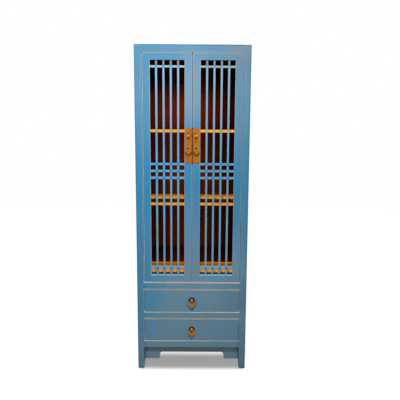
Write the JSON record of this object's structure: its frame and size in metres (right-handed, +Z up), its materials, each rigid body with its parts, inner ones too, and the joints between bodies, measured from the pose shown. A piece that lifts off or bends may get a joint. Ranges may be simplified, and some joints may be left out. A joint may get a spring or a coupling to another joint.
{
  "type": "lattice door cabinet",
  "caption": "Tall narrow painted wooden cabinet with hinged lattice doors over sliding drawers, on square post legs with an arched apron, for storing dishes and dry food.",
  "frame": {"origin": "on the floor under the middle of the whole object's box, pulls included", "axes": "+X to the right seen from the front, the front faces -Y, +Z up"},
  "size_m": [0.65, 0.4028, 1.905],
  "materials": {
    "blue_painted_wood": "satin blue paint rubbed through to pale wood at the edges",
    "dark_red_wood": "dark red-brown stained inside",
    "orange_wood": "clear orange varnish",
    "plain_wood": "bare planed wood",
    "brass": "aged brass with darker hollows"
  },
  "bodies": {
    "carcass": {"back_apron": "blue_painted_wood", "back_left_post": "blue_painted_wood", "back_panels": "dark_red_wood", "back_rails": "blue_painted_wood", "back_right_post": "blue_painted_wood", "bottom_front_rail": "blue_painted_wood", "cupboard_floor_board": "orange_wood", "drawer_divider_rail": "blue_painted_wood", "drawer_kickers": "dark_red_wood", "drawer_runners": "plain_wood", "dust_panel": "dark_red_wood", "front_apron": "blue_painted_wood", "front_left_post": "blue_painted_wood", "front_right_post": "blue_painted_wood", "left_side_panels": "blue_painted_wood", "left_side_rails": "blue_painted_wood", "lower_shelf_board": "orange_wood", "lower_shelf_rail": "orange_wood", "middle_front_rail": "blue_painted_wood", "right_side_panels": "blue_painted_wood", "right_side_rails": "blue_painted_wood", "shelf_cleats": "dark_red_wood", "side_aprons": "blue_painted_wood", "top_front_rail": "blue_painted_wood", "top_panel": "blue_painted_wood", "upper_shelf_board": "orange_wood", "upper_shelf_rail": "orange_wood"},
    "left_door": {"left_door_bottom_rail": "blue_painted_wood", "left_door_cross_bars": "blue_painted_wood", "left_door_hinge_stile": "blue_painted_wood", "left_door_meeting_stile": "blue_painted_wood", "left_door_plate": "brass", "left_door_staple": "brass", "left_door_top_rail": "blue_painted_wood", "left_door_upright_bars": "blue_painted_wood"},
    "left_door_pull": {"left_door_pull": "brass"},
    "right_door": {"right_door_bottom_rail": "blue_painted_wood", "right_door_cross_bars": "blue_painted_wood", "right_door_hinge_stile": "blue_painted_wood", "right_door_meeting_stile": "blue_painted_wood", "right_door_plate": "brass", "right_door_staple": "brass", "right_door_top_rail": "blue_painted_wood", "right_door_upright_bars": "blue_painted_wood"},
    "right_door_pull": {"right_door_pull": "brass"},
    "upper_drawer": {"upper_drawer_back": "plain_wood", "upper_drawer_bottom": "plain_wood", "upper_drawer_front": "blue_painted_wood", "upper_drawer_rosette": "brass", "upper_drawer_sides": "plain_wood", "upper_drawer_staple": "brass"},
    "upper_drawer_pull": {"upper_drawer_pull": "brass"},
    "lower_drawer": {"lower_drawer_back": "plain_wood", "lower_drawer_bottom": "plain_wood", "lower_drawer_front": "blue_painted_wood", "lower_drawer_rosette": "brass", "lower_drawer_sides": "plain_wood", "lower_drawer_staple": "brass"},
    "lower_drawer_pull": {"lower_drawer_pull": "brass"}
  },
  "joints": [
    {"name": "left_door_swing", "type": "hinge", "parent": "carcass", "child": "left_door", "pos_m": [-0.2735, -0.1796, 1.206], "axis": [0, 0, -1], "range_deg": [0, 105]},
    {"name": "left_door_pull_swing", "type": "hinge", "parent": "left_door", "child": "left_door_pull", "pos_m": [-0.0225, -0.1951, 1.405], "axis": [-1, 0, 0], "range_deg": [0, 90]},
    {"name": "right_door_swing", "type": "hinge", "parent": "carcass", "child": "right_door", "pos_m": [0.2735, -0.1796, 1.206], "axis": [0, 0, 1], "range_deg": [0, 105]},
    {"name": "right_door_pull_swing", "type": "hinge", "parent": "right_door", "child": "right_door_pull", "pos_m": [0.0225, -0.1951, 1.405], "axis": [-1, 0, 0], "range_deg": [0, 90]},
    {"name": "upper_drawer_slide", "type": "slide", "parent": "carcass", "child": "upper_drawer", "axis": [0, -1, 0], "range_m": [0, 0.28]},
    {"name": "upper_drawer_pull_swing", "type": "hinge", "parent": "upper_drawer", "child": "upper_drawer_pull", "pos_m": [0, -0.1964, 0.4332], "axis": [-1, 0, 0], "range_deg": [0, 90]},
    {"name": "lower_drawer_slide", "type": "slide", "parent": "carcass", "child": "lower_drawer", "axis": [0, -1, 0], "range_m": [0, 0.28]},
    {"name": "lower_drawer_pull_swing", "type": "hinge", "parent": "lower_drawer", "child": "lower_drawer_pull", "pos_m": [0, -0.1964, 0.251], "axis": [-1, 0, 0], "range_deg": [0, 90]}
  ]
}
